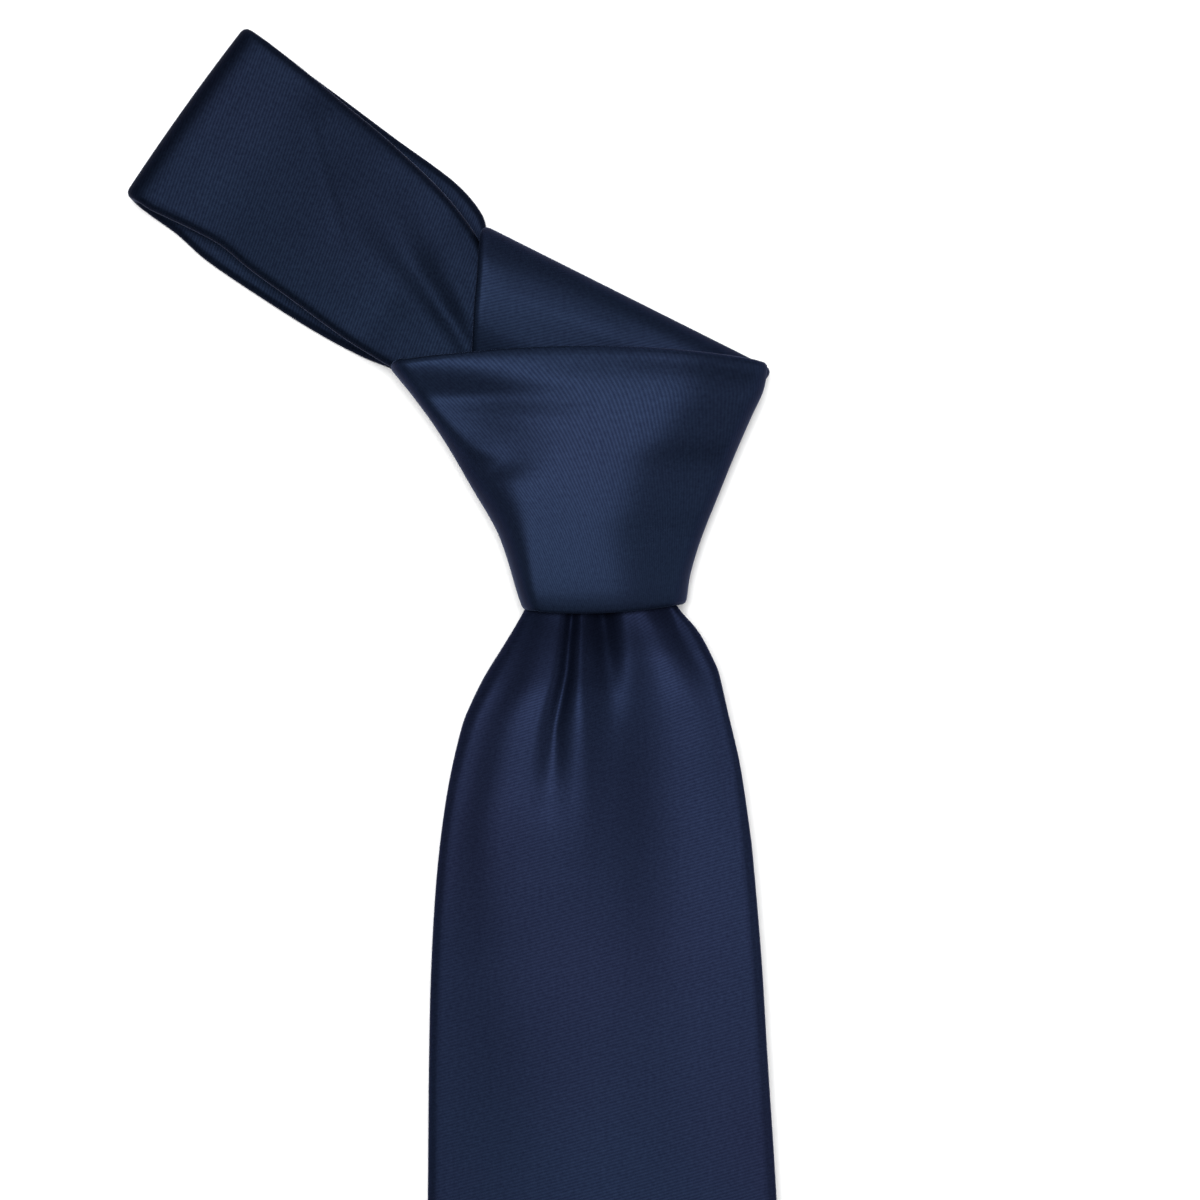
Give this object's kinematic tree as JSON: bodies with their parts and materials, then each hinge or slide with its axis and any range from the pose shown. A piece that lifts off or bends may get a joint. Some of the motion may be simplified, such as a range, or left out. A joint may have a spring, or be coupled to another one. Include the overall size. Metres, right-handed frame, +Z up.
{
  "type": "necktie",
  "caption": "Plain satin necktie tied in a four-in-hand knot, laid flat with its neck loop drawn small, a pointed wide end in front and the narrow end behind.",
  "frame": {"origin": "middle of the knot, on the flat face of the back wrap that rests on the surface", "axes": "+Y from the point of the blade towards the neck loop, +Z up from the surface through the face of the tie"},
  "size_m": [0.1379, 0.5495, 0.0209],
  "materials": {
    "shell_satin": "navy satin with a fine steep twill line",
    "interlining": "brushed woven wool blend",
    "tipping": "plain navy lining cloth",
    "sewing_thread": "navy sewing thread",
    "woven_label": "blank white woven ribbon"
  },
  "bodies": {
    "knot": {"knot_front_wrap": "shell_satin", "knot_last_pass": "shell_satin", "knot_back_wrap": "shell_satin", "knot_first_crossing": "shell_satin"},
    "blade": {"blade_shell": "shell_satin", "blade_interlining": "interlining", "blade_tipping": "tipping", "blade_slip_thread": "sewing_thread", "blade_bar_tack": "sewing_thread", "keeper_loop": "shell_satin", "keeper_tack_left": "sewing_thread", "keeper_tack_right": "sewing_thread", "maker_label": "woven_label", "care_label": "woven_label"},
    "tail": {"tail_shell": "shell_satin", "tail_interlining": "interlining", "tail_tipping": "tipping", "tail_slip_thread": "sewing_thread", "tail_bar_tack": "sewing_thread"},
    "neck_loop": {"neckband_front_shell": "shell_satin", "neckband_back_shell": "shell_satin", "neckband_fold_shell": "shell_satin", "neckband_front_interlining": "interlining", "neckband_back_interlining": "interlining", "neckband_fold_interlining": "interlining", "neckband_front_slip_thread": "sewing_thread", "neckband_back_slip_thread": "sewing_thread"}
  },
  "joints": [
    {"name": "blade_lift", "type": "hinge", "parent": "knot", "child": "blade", "pos_m": [0, -0.0293, 0.014], "axis": [-1, 0, 0], "range_deg": [0, 100]},
    {"name": "tail_slide", "type": "slide", "parent": "knot", "child": "tail", "axis": [0, -1, -0.0054], "range_m": [-0.015, 0.015]},
    {"name": "neck_loop_slide", "type": "slide", "parent": "knot", "child": "neck_loop", "axis": [0.8141, -0.5807, 0], "range_m": [-0.0075, 0.0075]}
  ],
  "couplings": [
    {"joint": "neck_loop_slide", "follows": "tail_slide", "ratio": 0.5}
  ]
}
